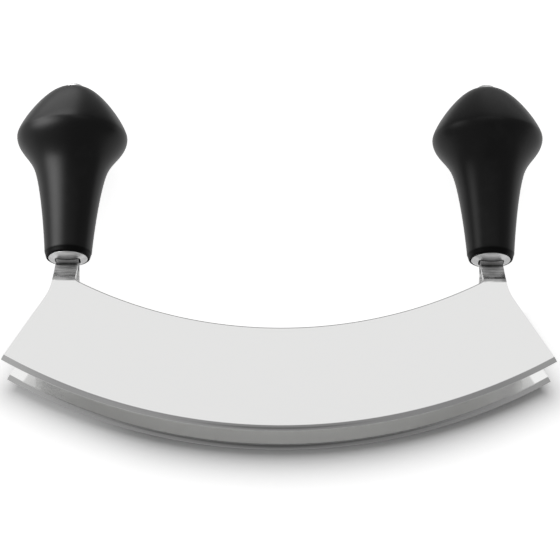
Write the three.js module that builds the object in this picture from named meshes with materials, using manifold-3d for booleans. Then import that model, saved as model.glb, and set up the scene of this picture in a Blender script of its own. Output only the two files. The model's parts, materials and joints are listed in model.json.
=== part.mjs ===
// Double mezzaluna: two parallel crescent blades rocked by two knob grips.
// Lengths are in millimetres and angles in degrees. Every piece is modelled with the tool
// standing on its cutting edges: X runs along the blades, Y from the front blade to the rear
// one and Z up the grips. The whole tool is then laid on its back, as it lies on a table.

import * as THREE from 'three';
import { mergeVertices } from 'three/addons/utils/BufferGeometryUtils.js';
import Module from 'manifold-3d';

const wasm = await Module();
wasm.setup();

// Blades
const bladeSpan = 210; // straight length over the tips
const bladeHeight = 41; // cutting edge to back, at the middle
const edgeRadius = 211.6; // curve of the cutting edge
const backRadius = 168.2; // curve of the back
const endSlant = 32; // lean of each end edge from upright
const sheetThickness = 1.5;
const bevelHeight = 2.15; // ground bevel on both faces
const bladeGap = 22; // clear space between the two blades

// Tangs, stamped in one piece with the blades and bent towards the grip axis
const tangWidth = 8.8;
const tangInset = 15; // length inside the grip
const endFillet = 20; // end edge to tang
const rootFillet = 2; // back to tang
const bendRadius = 3.2; // at the middle of the sheet
const bendDrop = 0.8; // from the back's corner down to the first bend
const joggleRise = 12.5; // height that the double bend takes

// Grips
const gripInset = 22.9; // from a blade tip in to the grip's axis
const footWall = 1.2; // plastic round the ferrule
const footRounding = 2.4;
const neckRadius = 14.2; // where the stem starts to flare
const neckDrop = 14.35; // neck to bulge
const bulgeRadius = 21.8;
const bulgeHeight = 51.1; // foot to bulge
const crownRise = 21.5; // bulge to crown lip

// Arms of the curves that run from foot to neck, neck to bulge and bulge to crown
const footArm = new THREE.Vector2(0.58, 8.75);
const neckArmBelow = new THREE.Vector2(2.55, 7.55);
const neckArmAbove = new THREE.Vector2(2.23, 6.6);
const bulgeArmBelow = 4.95;
const bulgeArmAbove = 3.5;
const crownArm = new THREE.Vector2(6.6, 0.6);

// Ferrules, domed slotted cups let into the grips' feet
const ferruleRim = 1.79; // metal outside the slot's corners
const ferruleWall = 1;
const ferruleSkirt = 5; // depth inside the grip
const ferruleDome = 1.8;
const ferruleShoulder = 2.9; // rim to the arm of the dome's curve
const slotCorner = 1.5;

// Draw rods, each with a flat foot riveted between the two tangs
const rodRadius = 2.5;
const rodFootThickness = 2;
const rodFootReveal = 0.4; // tang left bare on each side of the foot
const rodShoulder = 3; // foot left above the tangs
const rivetRadius = 1.5;
const rivetPitch = 6;
const rivetMargin = 4.5; // upper rivet to the tang's end
const rodFootMargin = 2.5; // lower rivet to the foot's end

// Cap nuts and washers that draw the grips down from the crown
const capWall = 1.2; // round the rod's end
const capRoof = 1.8; // over the rod's end
const capLength = 7;
const capStand = 1.8; // height left proud of the crown
const capDome = 0.8;
const capShoulder = 0.4; // wall to the arm of the dome's curve
const washerRim = 0.3; // proud of the cap nut all round
const washerThickness = 1;

// Fits
const clearance = 0.3; // around and between fitted pieces
const slotClearance = 0.5; // around the tangs in their slots

// Facets
const edgeFacets = 180; // in a full turn of the blade's edge
const backFacets = 20;
const filletFacets = 4;
const bendFacets = 5;
const turnedFacets = 32; // round a grip or ferrule
const smallFacets = 20; // round a nut, washer or rod
const rivetFacets = 12;
const curveFacets = 7; // along each curve of an outline

// Blade and tang places that follow from the sizes
const halfSheet = sheetThickness / 2;
const bladeOffset = bladeGap / 2 + halfSheet; // blade's middle plane
const throughDepth = 4 * bladeOffset; // clears both blades
const gripSpacing = bladeSpan - 2 * gripInset;
const tangOffset = rodFootThickness / 2 + clearance + halfSheet; // tang's middle plane
const stackDepth = 2 * (tangOffset + halfSheet); // two tangs and the rod's foot
const tangInner = (gripSpacing - tangWidth) / 2;
const tangOuter = (gripSpacing + tangWidth) / 2;
const backCentre = bladeHeight + backRadius;
const bendStart = backCentre - Math.sqrt(backRadius ** 2 - tangInner ** 2) - bendDrop;
const bendEnd = bendStart + joggleRise;
const gripBase = bendEnd + ferruleDome;
const tangTop = gripBase + tangInset;

// Grip places and sizes, as heights above the grip's foot
const slotX = tangWidth / 2 + slotClearance;
const slotY = stackDepth / 2 + slotClearance;
const ferruleRadius = Math.hypot(slotX, slotY) + ferruleRim;
const recessRadius = ferruleRadius + clearance;
const recessTop = ferruleSkirt + clearance;
const footRadius = recessRadius + footWall;
const gripLength = bulgeHeight + crownRise;
const upperRivet = tangInset - rivetMargin;
const lowerRivet = upperRivet - rivetPitch;
const rodFootBottom = lowerRivet - rodFootMargin;
const rodFootTop = tangInset + rodShoulder;
const pocketTop = rodFootTop + clearance;
const boreRadius = rodRadius + clearance;
const capRadius = boreRadius + capWall;
const washerRadius = capRadius + washerRim;
const crownRecessRadius = washerRadius + clearance;
const capBottom = gripLength + capStand - capLength;
const washerBottom = capBottom - clearance - washerThickness;
const crownSeat = washerBottom - clearance;
const capBoreDepth = capLength - capRoof;
const rodTop = capBottom + capBoreDepth - clearance;

const bladeSteel = { color: 0xdcdddd, roughness: 0.16, metalness: 1 };
const blackPlastic = { color: 0x19191a, roughness: 0.48, metalness: 0 };
const ferruleSteel = { color: 0xb9babb, roughness: 0.28, metalness: 1 };
const capSteel = { color: 0xc9cacb, roughness: 0.22, metalness: 1 };
const rodSteel = { color: 0x8f9296, roughness: 0.4, metalness: 1 };

// A closed geometry as a solid that can be cut and joined.
function solid(geometry) {
  const bare = geometry.clone();
  bare.deleteAttribute('normal');
  bare.deleteAttribute('uv');
  const merged = mergeVertices(bare);
  return new wasm.Manifold(new wasm.Mesh({
    numProp: 3,
    vertProperties: new Float32Array(merged.attributes.position.array),
    triVerts: new Uint32Array(merged.index.array),
  }));
}

// A solid back as a geometry with flat facets.
function geometryOf(body) {
  const mesh = body.getMesh();
  const indexed = new THREE.BufferGeometry();
  indexed.setAttribute('position', new THREE.BufferAttribute(mesh.vertProperties, 3));
  indexed.setIndex(new THREE.BufferAttribute(mesh.triVerts, 1));
  const geometry = indexed.toNonIndexed();
  geometry.computeVertexNormals();
  return geometry;
}

function points(pairs) {
  return pairs.map(([x, y]) => new THREE.Vector2(x, y));
}

// An outline of radius and height turned round the Z axis.
function turned(outline, facets) {
  return new THREE.LatheGeometry(outline, facets).rotateX(Math.PI / 2);
}

// An outline in X and Z with its depth centred on Y.
function standingPrism(shape, depth, facets) {
  const geometry = new THREE.ExtrudeGeometry(shape, { depth, bevelEnabled: false, curveSegments: facets });
  return geometry.rotateX(Math.PI / 2).translate(0, depth / 2, 0);
}

// A cylinder that runs from front to back, as the rivets do.
function rivetCylinder(radius, length) {
  return new THREE.CylinderGeometry(radius, radius, length, rivetFacets);
}

// Blade outline with both tangs, open-ended below the cutting edge.
function bladeOutline() {
  const slant = THREE.MathUtils.degToRad(endSlant);
  const tipX = bladeSpan / 2;
  const tipZ = edgeRadius - Math.sqrt(edgeRadius ** 2 - tipX ** 2);
  const cornerZ = tipZ + (tipX - tangOuter) / Math.tan(slant);
  const filletZ = cornerZ + endFillet * Math.tan(slant / 2);
  const lowX = tipX + tipZ * Math.tan(slant);
  const rootX = tangInner - rootFillet;
  const rootZ = backCentre - Math.sqrt((backRadius - rootFillet) ** 2 - rootX ** 2);
  const rootAngle = Math.atan2(rootZ - backCentre, rootX);
  const shape = new THREE.Shape();
  shape.moveTo(-lowX, -bevelHeight);
  shape.lineTo(lowX, -bevelHeight);
  shape.lineTo(lowX, 0);
  shape.absarc(tangOuter + endFillet, filletZ, endFillet, Math.PI + slant, Math.PI, true);
  shape.lineTo(tangOuter, tangTop);
  shape.lineTo(tangInner, tangTop);
  shape.absarc(rootX, rootZ, rootFillet, 0, rootAngle, true);
  shape.absarc(0, backCentre, backRadius, rootAngle, -Math.PI - rootAngle, true);
  shape.absarc(-rootX, rootZ, rootFillet, -Math.PI - rootAngle, -Math.PI, true);
  shape.lineTo(-tangInner, tangTop);
  shape.lineTo(-tangOuter, tangTop);
  shape.absarc(-tangOuter - endFillet, filletZ, endFillet, 0, -slant, true);
  shape.lineTo(-lowX, 0);
  shape.closePath();
  return shape;
}

// Side view, in Y and Z, of the front blade's sheet from below the double bend to the tang's end.
function joggleOutline() {
  const shift = bladeOffset - tangOffset;
  const across = shift - 2 * bendRadius;
  const apart = Math.hypot(across, joggleRise);
  const lean = Math.atan2(across, joggleRise) + Math.asin(2 * bendRadius / apart);
  const lower = new THREE.Vector2(bendRadius - bladeOffset, bendStart);
  const upper = new THREE.Vector2(-tangOffset - bendRadius, bendEnd);
  const shape = new THREE.Shape();
  shape.moveTo(-bladeOffset + halfSheet, bladeHeight);
  shape.lineTo(-bladeOffset - halfSheet, bladeHeight);
  shape.absarc(lower.x, lower.y, bendRadius + halfSheet, Math.PI, Math.PI - lean, true);
  shape.absarc(upper.x, upper.y, bendRadius - halfSheet, -lean, 0, false);
  shape.lineTo(-tangOffset - halfSheet, tangTop);
  shape.lineTo(-tangOffset + halfSheet, tangTop);
  shape.absarc(upper.x, upper.y, bendRadius + halfSheet, 0, -lean, true);
  shape.absarc(lower.x, lower.y, bendRadius - halfSheet, Math.PI - lean, Math.PI, false);
  shape.closePath();
  return shape;
}

// A turned ring of sheet with its rim ground to an edge, cut off level where the bends start.
function groundSheet() {
  const rimRadius = edgeRadius - bevelHeight;
  const holeRadius = edgeRadius - tangTop;
  const profile = points([
    [holeRadius, -halfSheet], [rimRadius, -halfSheet], [edgeRadius, 0],
    [rimRadius, halfSheet], [holeRadius, halfSheet], [holeRadius, -halfSheet],
  ]);
  const ring = new THREE.LatheGeometry(profile, edgeFacets);
  ring.translate(0, -bladeOffset, edgeRadius);
  const keep = new THREE.BoxGeometry(2 * edgeRadius, throughDepth, 2 * bendStart);
  return solid(ring).intersect(solid(keep));
}

// The front blade; half a turn about Z gives the rear one.
function bladeGeometry() {
  const bend = new THREE.ExtrudeGeometry(joggleOutline(), {
    depth: bladeSpan, bevelEnabled: false, curveSegments: bendFacets,
  });
  bend.applyMatrix4(new THREE.Matrix4().makeBasis(
    new THREE.Vector3(0, 1, 0), new THREE.Vector3(0, 0, 1), new THREE.Vector3(1, 0, 0),
  ));
  bend.translate(-bladeSpan / 2, 0, 0);
  const outline = standingPrism(bladeOutline(), throughDepth, backFacets);
  let body = groundSheet().add(solid(bend)).intersect(solid(outline));
  for (const side of [-1, 1]) {
    for (const height of [lowerRivet, upperRivet]) {
      const hole = rivetCylinder(rivetRadius + clearance, throughDepth);
      hole.translate(side * gripSpacing / 2, 0, gripBase + height);
      body = body.subtract(solid(hole));
    }
  }
  return geometryOf(body);
}

// Upright prism of the slot that takes both tangs.
function tangSlot(bottom, top) {
  const x = slotX - slotCorner;
  const y = slotY - slotCorner;
  const quarter = Math.PI / 2;
  const shape = new THREE.Shape();
  shape.absarc(x, y, slotCorner, 0, quarter, false);
  shape.absarc(-x, y, slotCorner, quarter, 2 * quarter, false);
  shape.absarc(-x, -y, slotCorner, 2 * quarter, 3 * quarter, false);
  shape.absarc(x, -y, slotCorner, 3 * quarter, 4 * quarter, false);
  const geometry = new THREE.ExtrudeGeometry(shape, {
    depth: top - bottom, bevelEnabled: false, curveSegments: filletFacets,
  });
  return geometry.translate(0, 0, bottom);
}

// Outside of the grip, as radius and height from its foot to its crown lip.
function gripOutline() {
  const foot = new THREE.Vector2(footRadius, footRounding);
  const neck = new THREE.Vector2(neckRadius, bulgeHeight - neckDrop);
  const bulge = new THREE.Vector2(bulgeRadius, bulgeHeight);
  const crown = new THREE.Vector2(crownRecessRadius, gripLength);
  const low = neck.clone().sub(neckArmBelow);
  const high = neck.clone().add(neckArmAbove);
  const start = foot.clone().add(footArm);
  const outside = new THREE.Path();
  outside.moveTo(recessRadius, 0);
  outside.quadraticCurveTo(footRadius, 0, foot.x, foot.y);
  outside.bezierCurveTo(start.x, start.y, low.x, low.y, neck.x, neck.y);
  outside.bezierCurveTo(high.x, high.y, bulge.x, bulge.y - bulgeArmBelow, bulge.x, bulge.y);
  outside.bezierCurveTo(bulge.x, bulge.y + bulgeArmAbove, crown.x + crownArm.x, crown.y - crownArm.y,
    crown.x, crown.y);
  return outside.getPoints(curveFacets);
}

function gripGeometry() {
  const inside = points([
    [crownRecessRadius, crownSeat], [boreRadius, crownSeat], [boreRadius, recessTop],
    [recessRadius, recessTop], [recessRadius, 0],
  ]);
  const body = solid(turned([...gripOutline(), ...inside], turnedFacets));
  return geometryOf(body.subtract(solid(tangSlot(0, pocketTop))));
}

function ferruleGeometry() {
  const shoulder = ferruleRadius - ferruleShoulder;
  const innerRadius = ferruleRadius - ferruleWall;
  const outside = new THREE.Path();
  outside.moveTo(0, -ferruleDome);
  outside.quadraticCurveTo(shoulder, -ferruleDome, ferruleRadius, 0);
  outside.lineTo(ferruleRadius, ferruleSkirt);
  outside.lineTo(innerRadius, ferruleSkirt);
  outside.lineTo(innerRadius, ferruleWall);
  outside.quadraticCurveTo(shoulder, ferruleWall - ferruleDome, 0, ferruleWall - ferruleDome);
  const cup = solid(turned(outside.getPoints(curveFacets), turnedFacets));
  return geometryOf(cup.subtract(solid(tangSlot(-2 * ferruleDome, ferruleSkirt))));
}

// Round rod with a flat foot that lies between the tangs and is riveted through them.
function rodGeometry() {
  const stemBottom = tangInset + clearance;
  const stemLength = rodTop - stemBottom;
  const stem = new THREE.CylinderGeometry(rodRadius, rodRadius, stemLength, smallFacets);
  stem.rotateX(Math.PI / 2).translate(0, 0, stemBottom + stemLength / 2);
  const footLength = rodFootTop - rodFootBottom;
  const footWidth = tangWidth - 2 * rodFootReveal;
  const foot = new THREE.BoxGeometry(footWidth, rodFootThickness, footLength);
  foot.translate(0, 0, rodFootBottom + footLength / 2);
  let body = solid(stem).add(solid(foot));
  for (const height of [lowerRivet, upperRivet]) {
    const hole = rivetCylinder(rivetRadius + clearance, stackDepth);
    body = body.subtract(solid(hole.translate(0, 0, height)));
  }
  return geometryOf(body);
}

function washerGeometry() {
  return turned(points([
    [boreRadius, 0], [washerRadius, 0], [washerRadius, washerThickness],
    [boreRadius, washerThickness], [boreRadius, 0],
  ]), smallFacets);
}

// Domed nut with a blind bore for the rod's end.
function capGeometry() {
  const outline = new THREE.Path();
  outline.moveTo(0, capBoreDepth);
  outline.lineTo(boreRadius, capBoreDepth);
  outline.lineTo(boreRadius, 0);
  outline.lineTo(capRadius, 0);
  outline.lineTo(capRadius, capLength - capDome);
  outline.quadraticCurveTo(capRadius - capShoulder, capLength, 0, capLength);
  return turned(outline.getPoints(curveFacets), smallFacets);
}

// Tilt at which the lying tool touches the table with its grips and with the rear blade.
function lyingTilt() {
  const face = bladeOffset + halfSheet;
  const slopes = gripOutline().map(({ x, y }) => (x - face) / (gripBase + y - bevelHeight));
  return Math.atan(Math.max(...slopes));
}

const tool = new THREE.Group();

function place(name, geometry, finish, x = 0, z = 0) {
  const mesh = new THREE.Mesh(geometry, new THREE.MeshStandardMaterial(finish));
  mesh.name = name;
  mesh.position.set(x, 0, z);
  tool.add(mesh);
  return mesh;
}

const blade = bladeGeometry();
place('front_blade', blade, bladeSteel);
place('rear_blade', blade, bladeSteel).rotation.z = Math.PI;

for (const [side, x] of [['left', -gripSpacing / 2], ['right', gripSpacing / 2]]) {
  place(`${side}_grip`, gripGeometry(), blackPlastic, x, gripBase);
  place(`${side}_ferrule`, ferruleGeometry(), ferruleSteel, x, gripBase);
  place(`${side}_draw_rod`, rodGeometry(), rodSteel, x, gripBase);
  place(`${side}_washer`, washerGeometry(), rodSteel, x, gripBase + washerBottom);
  place(`${side}_cap_nut`, capGeometry(), capSteel, x, gripBase + capBottom);
  const rivet = rivetCylinder(rivetRadius, stackDepth);
  place(`${side}_lower_rivet`, rivet, rodSteel, x, gripBase + lowerRivet);
  place(`${side}_upper_rivet`, rivet, rodSteel, x, gripBase + upperRivet);
}

// Lay the tool on its back and bring the middle of its footprint to the origin.
tool.rotation.x = lyingTilt() - Math.PI / 2;
const mezzaluna = new THREE.Group();
mezzaluna.add(tool);
mezzaluna.updateMatrixWorld(true);
const bounds = new THREE.Box3().setFromObject(mezzaluna, true);
const middle = bounds.getCenter(new THREE.Vector3());
tool.position.set(-middle.x, -middle.y, -bounds.min.z);

export default mezzaluna;
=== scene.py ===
"""Double mezzaluna lying on a white table: its looks, light and camera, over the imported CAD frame.

Pieces are modelled standing, in millimetres: X along the blades, Y from the front blade to the
rear one, Z up the grips, with the cutting edges lowest at Z 0. A pose then lays them down.
"""

import json
import logging
import math
from collections.abc import Iterable, Mapping, Sequence
from dataclasses import dataclass
from enum import Enum
from functools import reduce

import bmesh
import bpy
from mathutils import Matrix, Vector
from mathutils.geometry import interpolate_bezier


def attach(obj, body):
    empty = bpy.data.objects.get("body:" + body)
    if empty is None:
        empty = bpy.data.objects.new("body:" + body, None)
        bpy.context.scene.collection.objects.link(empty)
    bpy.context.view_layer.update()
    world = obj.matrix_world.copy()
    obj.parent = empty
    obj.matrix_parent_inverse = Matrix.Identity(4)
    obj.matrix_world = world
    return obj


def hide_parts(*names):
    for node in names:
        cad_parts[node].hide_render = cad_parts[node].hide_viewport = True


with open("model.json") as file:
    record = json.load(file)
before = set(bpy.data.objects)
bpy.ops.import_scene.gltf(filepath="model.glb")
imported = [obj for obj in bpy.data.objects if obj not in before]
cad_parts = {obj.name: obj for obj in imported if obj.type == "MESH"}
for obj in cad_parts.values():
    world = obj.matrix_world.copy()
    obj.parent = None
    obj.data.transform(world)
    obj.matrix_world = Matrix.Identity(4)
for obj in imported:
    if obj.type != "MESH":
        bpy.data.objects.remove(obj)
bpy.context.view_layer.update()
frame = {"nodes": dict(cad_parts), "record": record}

LOG = logging.getLogger("double_mezzaluna")
BODY = "root"
X_AXIS = Vector((1, 0, 0))
Y_AXIS = Vector((0, 1, 0))
Z_AXIS = Vector((0, 0, 1))
MILLIMETRE = 0.001
TOUCH = 1e-4
ROUND_PROFILE = 0.5
FLAT_FACE_WEIGHT = 100
STEEL_CREASE = 25
PLASTIC_CREASE = 30
OPEN_BEAM = 180

Pair = tuple[float, float]
Point = tuple[float, float, float]
Colour = tuple[float, float, float, float]
Socket = bpy.types.NodeSocket


class BladeSide(Enum):
    """The two blades, by the angle that turns the front one into each."""

    FRONT = 0.0
    REAR = math.pi


class GripSide(Enum):
    """The two grips, by the sign of their place along the blades."""

    LEFT = -1
    RIGHT = 1


class SocketKind(Enum):
    """What a shader group takes or gives."""

    NUMBER = "NodeSocketFloat"
    VECTOR = "NodeSocketVector"


@dataclass(frozen=True)
class LyingPose:
    """How the standing tool lies on the table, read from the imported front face.

    Attributes:
        face_offset: distance of the front blade's outer face from the middle plane, in mm.
        face_height: height of the mount's point above the cutting edge, in mm.
    """

    face_offset: float = 12.5
    face_height: float = 20.0

    @property
    def matrix(self) -> Matrix:
        """Standing millimetres to lying metres."""
        mount = next(m for m in frame["record"]["mounts"] if m["name"] == "front_face")
        depth = -Vector(mount["axis"]).normalized()
        height = X_AXIS.cross(depth)
        turn = Matrix((X_AXIS, depth, height)).transposed().to_4x4() @ Matrix.Scale(MILLIMETRE, 4)
        point = turn @ Vector((0, -self.face_offset, self.face_height))
        return Matrix.Translation(Vector(mount["pos_m"]) - point) @ turn


@dataclass(frozen=True)
class Grain:
    """Noise in a finish: its features per unit of length, and its octaves of finer ones."""

    scale: float
    detail: float


class Graph:
    """A node tree that nodes are added to with their inputs set or linked in one step."""

    def __init__(self, tree: bpy.types.NodeTree) -> None:
        """Clears the tree."""
        self.tree = tree
        tree.nodes.clear()

    def feed(self, node: bpy.types.Node, inputs: Mapping) -> None:
        """Sets or links a node's inputs.

        Args:
            node: the node.
            inputs: value or output socket for each input, by name or index.
        """
        for key, value in inputs.items():
            if isinstance(value, Socket):
                self.tree.links.new(value, node.inputs[key])
            else:
                node.inputs[key].default_value = value

    def add(self, kind: str, inputs: Mapping | None = None, **settings: object) -> bpy.types.Node:
        """Adds a node.

        Args:
            kind: the node's type name.
            inputs: value or output socket for each input, by name or index.
            **settings: the node's own properties.

        Returns:
            The new node.
        """
        node = self.tree.nodes.new(kind)
        for name, value in settings.items():
            setattr(node, name, value)
        self.feed(node, inputs or {})
        return node

    def use(self, group: bpy.types.NodeTree, inputs: Mapping | None = None) -> Sequence[Socket]:
        """The outputs of a shared group that is added to the tree."""
        return self.add("ShaderNodeGroup", inputs, node_tree=group).outputs

    def split(self, vector: Socket) -> Sequence[Socket]:
        """A vector's three parts."""
        return self.add("ShaderNodeSeparateXYZ", {0: vector}).outputs

    def join(self, *parts: object) -> Socket:
        """A vector from its parts, in order, where parts left out are 0."""
        return self.add("ShaderNodeCombineXYZ", dict(enumerate(parts))).outputs[0]

    def math(self, operation: str, *values: object) -> Socket:
        """The result of a Math node for its inputs, in order."""
        return self.add("ShaderNodeMath", dict(enumerate(values)), operation=operation).outputs[0]

    def product(self, *values: object) -> Socket:
        """The product of several values."""
        return reduce(lambda one, other: self.math("MULTIPLY", one, other), values)

    def length(self, across: object, up: object) -> Socket:
        """The length of a line, from its two parts at right angles."""
        squares = [self.math("POWER", part, 2) for part in (across, up)]
        return self.math("SQRT", self.math("ADD", *squares))

    def mix(self, share: object, low: object, high: object) -> Socket:
        """A value between low, at share 0, and high, at share 1."""
        return self.add("ShaderNodeMix", {0: share, 2: low, 3: high}, data_type="FLOAT").outputs[0]

    def tint(self, share: object, low: object, high: object) -> Socket:
        """A colour between low, at share 0, and high, at share 1."""
        return self.add("ShaderNodeMix", {0: share, 6: low, 7: high}, data_type="RGBA").outputs[2]

    def noise(self, place: Socket, grain: Grain) -> Socket:
        """Noise from 0 to 1."""
        inputs = {"Vector": place, "Scale": grain.scale, "Detail": grain.detail}
        return self.add("ShaderNodeTexNoise", inputs).outputs[0]

    def ramp(self, value: object, start: float, end: float, base: float = 0.0) -> Socket:
        """A soft step from 0 to 1 as a value runs from start to end, both counted from base."""
        inputs = {"Value": value, "From Min": base + start, "From Max": base + end}
        return self.add("ShaderNodeMapRange", inputs, interpolation_type="SMOOTHSTEP").outputs[0]


@dataclass(frozen=True)
class LatheMarks:
    """What a lathe leaves on turned steel, and a painted reflection round its axis.

    Attributes:
        rings: grain of the rings.
        drift: how far the rings' grain runs on with each radian round the axis.
        sheen: grain of the painted reflection round the axis.
        sheen_turn: angles that turn the painted reflection's grain.
        sheen_stretch: scale of that grain round the axis and, last, from grip to grip.
        painted_facing_share: share of the painted reflection that depends on facing front or rear instead of
            on its grain, a painted highlight.
    """

    rings: Grain = Grain(9.0, 2.0)
    drift: float = 0.15
    sheen: Grain = Grain(2.4, 2.0)
    sheen_turn: Point = (0.0, 0.0, 1.0)
    sheen_stretch: Point = (1.0, 1.0, 0.02)
    painted_facing_share: float = 0.6


@dataclass(frozen=True)
class HandlingMarks:
    """What hands and use leave on a finish.

    Attributes:
        smears: grain of the smears.
        smeared: levels between which a smear takes scuffs.
        scuffs: grain of the scuffs.
        scuffed: levels between which the scuffs' grain shows.
        scuff_turn: angles that turn the scuffs.
        scuff_stretch: scale of the scuffs along and across.
    """

    smears: Grain = Grain(0.045, 3.0)
    smeared: Pair = (0.45, 0.6)
    scuffs: Grain = Grain(0.8, 1.0)
    scuffed: Pair = (0.68, 0.78)
    scuff_turn: Point = (0.4, 0.2, 0.9)
    scuff_stretch: Point = (0.25, 2.6, 2.6)


class Effects:
    """Shader groups that several finishes share."""

    def __init__(self, pose: LyingPose) -> None:
        """Makes the groups.

        Args:
            pose: how the tool lies, for coordinates that stand.
        """
        self.place = self._place(pose)
        self.sheet = self._sheet()
        self.lathe = self._lathe(LatheMarks())
        self.handling = self._handling(HandlingMarks())

    @staticmethod
    def _group(name: str, takes: Mapping[str, SocketKind], gives: Mapping[str, SocketKind]) -> tuple:
        """Starts a group.

        Args:
            name: the group's name.
            takes: kind of each input.
            gives: kind of each output.

        Returns:
            The group, its graph, its input sockets and its output node.
        """
        group = bpy.data.node_groups.new(name, "ShaderNodeTree")
        for way, sockets in (("INPUT", takes), ("OUTPUT", gives)):
            for socket, kind in sockets.items():
                group.interface.new_socket(socket, in_out=way, socket_type=kind.value)
        graph = Graph(group)
        return group, graph, graph.add("NodeGroupInput").outputs, graph.add("NodeGroupOutput")

    def _place(self, pose: LyingPose) -> bpy.types.NodeTree:
        """Standing coordinates in mm.

        Args:
            pose: how the tool lies.

        Returns:
            The group.
        """
        group, graph, _, end = self._group("standing_place", {}, {"Place": SocketKind.VECTOR})
        location, rotation, scale = pose.matrix.inverted().decompose()
        inputs = {
            "Vector": graph.add("ShaderNodeTexCoord").outputs["Object"],
            "Location": location,
            "Rotation": rotation.to_euler(),
            "Scale": scale,
        }
        graph.feed(end, {"Place": graph.add("ShaderNodeMapping", inputs).outputs[0]})
        return group

    def _sheet(self) -> bpy.types.NodeTree:
        """Place along and across a blade, measured round the centre of its cutting edge.

        Returns:
            The group.
        """
        takes = {"Place": SocketKind.VECTOR, "Centre Height": SocketKind.NUMBER}
        gives = {"Along": SocketKind.NUMBER, "Radius": SocketKind.NUMBER}
        group, graph, start, end = self._group("sheet_place", takes, gives)
        x, _, z = graph.split(start["Place"])
        drop = graph.math("SUBTRACT", start["Centre Height"], z)
        along = graph.product(graph.math("ARCTAN2", x, drop), start["Centre Height"])
        graph.feed(end, {"Along": along, "Radius": graph.length(x, drop)})
        return group

    def _lathe(self, marks: LatheMarks) -> bpy.types.NodeTree:
        """A painted reflection round the nearest grip's axis, lighter where the surface faces front or rear,
        and the fine rings that a lathe leaves.

        Args:
            marks: the rings and the painted reflection.

        Returns:
            The group.
        """
        takes = {"Place": SocketKind.VECTOR, "Axis Offset": SocketKind.NUMBER}
        gives = {"Sheen": SocketKind.NUMBER, "Rings": SocketKind.NUMBER}
        group, graph, start, end = self._group("lathe_rings_painted_sheen", takes, gives)
        x, y, z = graph.split(start["Place"])
        side = graph.math("SUBTRACT", graph.math("ABSOLUTE", x), start["Axis Offset"])
        radius = graph.length(side, y)
        sideways, facing = (graph.math("DIVIDE", part, radius) for part in (side, y))
        spoke = graph.join(sideways, facing, x)
        inputs = {"Vector": spoke, "Rotation": marks.sheen_turn, "Scale": marks.sheen_stretch}
        sheen = graph.noise(graph.add("ShaderNodeMapping", inputs).outputs[0], marks.sheen)
        # painted highlight: lighter where the surface faces front or rear
        sheen = graph.mix(marks.painted_facing_share, sheen, graph.math("ABSOLUTE", facing))
        drift = graph.product(graph.math("ARCTAN2", y, side), marks.drift)
        rings = graph.noise(graph.join(radius, drift, z), marks.rings)
        graph.feed(end, {"Sheen": sheen, "Rings": rings})
        return group

    def _handling(self, marks: HandlingMarks) -> bpy.types.NodeTree:
        """Soft smears that handling leaves on a finish, and sparse fine scuffs.

        Args:
            marks: the smears and the scuffs.

        Returns:
            The group.
        """
        gives = {"Smears": SocketKind.NUMBER, "Scuffs": SocketKind.NUMBER}
        group, graph, start, end = self._group("handling_marks", {"Place": SocketKind.VECTOR}, gives)
        smears = graph.noise(start["Place"], marks.smears)
        inputs = {"Vector": start["Place"], "Rotation": marks.scuff_turn, "Scale": marks.scuff_stretch}
        scuffs = graph.noise(graph.add("ShaderNodeMapping", inputs).outputs[0], marks.scuffs)
        sparse = graph.product(graph.ramp(scuffs, *marks.scuffed), graph.ramp(smears, *marks.smeared))
        graph.feed(end, {"Smears": smears, "Scuffs": sparse})
        return group


@dataclass(frozen=True)
class SteelFinish:
    """Bare steel.

    Attributes:
        name: the finish's name.
        colour: colour where its marks are light.
        shade: colour where its marks are dark.
        roughness: the least roughness.
        spread: roughness that its marks add.
        mark_depth: depth of its marks, in mm.
    """

    name: str
    colour: Colour
    shade: Colour
    roughness: float
    spread: float
    mark_depth: float


@dataclass(frozen=True)
class TurnedFinish(SteelFinish):
    """Turned steel, with a painted reflection in its colour.

    Attributes:
        smear: roughness that handling adds.
        sheen: levels between which the painted reflection lightens it.
        ring_least: share of that brightness that is left between the rings.
    """

    smear: float = 0.06
    sheen: Pair = (0.3, 0.8)
    ring_least: float = 0.5


@dataclass(frozen=True)
class DrawnFinish(SteelFinish):
    """Drawn steel.

    Attributes:
        lines: grain of the drawing die's lines.
        stretch: scale of that grain, long up the grip.
    """

    lines: Grain = Grain(6.0, 3.0)
    stretch: Point = (1.0, 1.0, 0.05)


@dataclass(frozen=True)
class PlasticFinish:
    """Moulded plastic.

    Attributes:
        name: the finish's name.
        colour: its colour.
        scuffed: its colour where it is worn.
        roughness: the least roughness.
        spread: roughness that smears add.
        texture_depth: depth of the mould's texture, in mm.
        spark: grain of the mould's texture.
        spark_share: share of the spread that the texture adds.
        flow: grain of the wear.
        worn: levels between which the wear shows.
        refraction: its refractive index.
        gloss: level of its reflections.
        foot_gloss: their level on the dull foot.
        foot_top: heights over the grip's base between which the foot ends, in mm.
    """

    name: str
    colour: Colour
    scuffed: Colour
    roughness: float
    spread: float
    texture_depth: float
    spark: Grain = Grain(3.2, 3.0)
    spark_share: float = 0.5
    flow: Grain = Grain(0.12, 2.0)
    worn: Pair = (0.5, 0.8)
    refraction: float = 1.48
    gloss: float = 0.25
    foot_gloss: float = 0.08
    foot_top: Pair = (1.8, 2.6)


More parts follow.
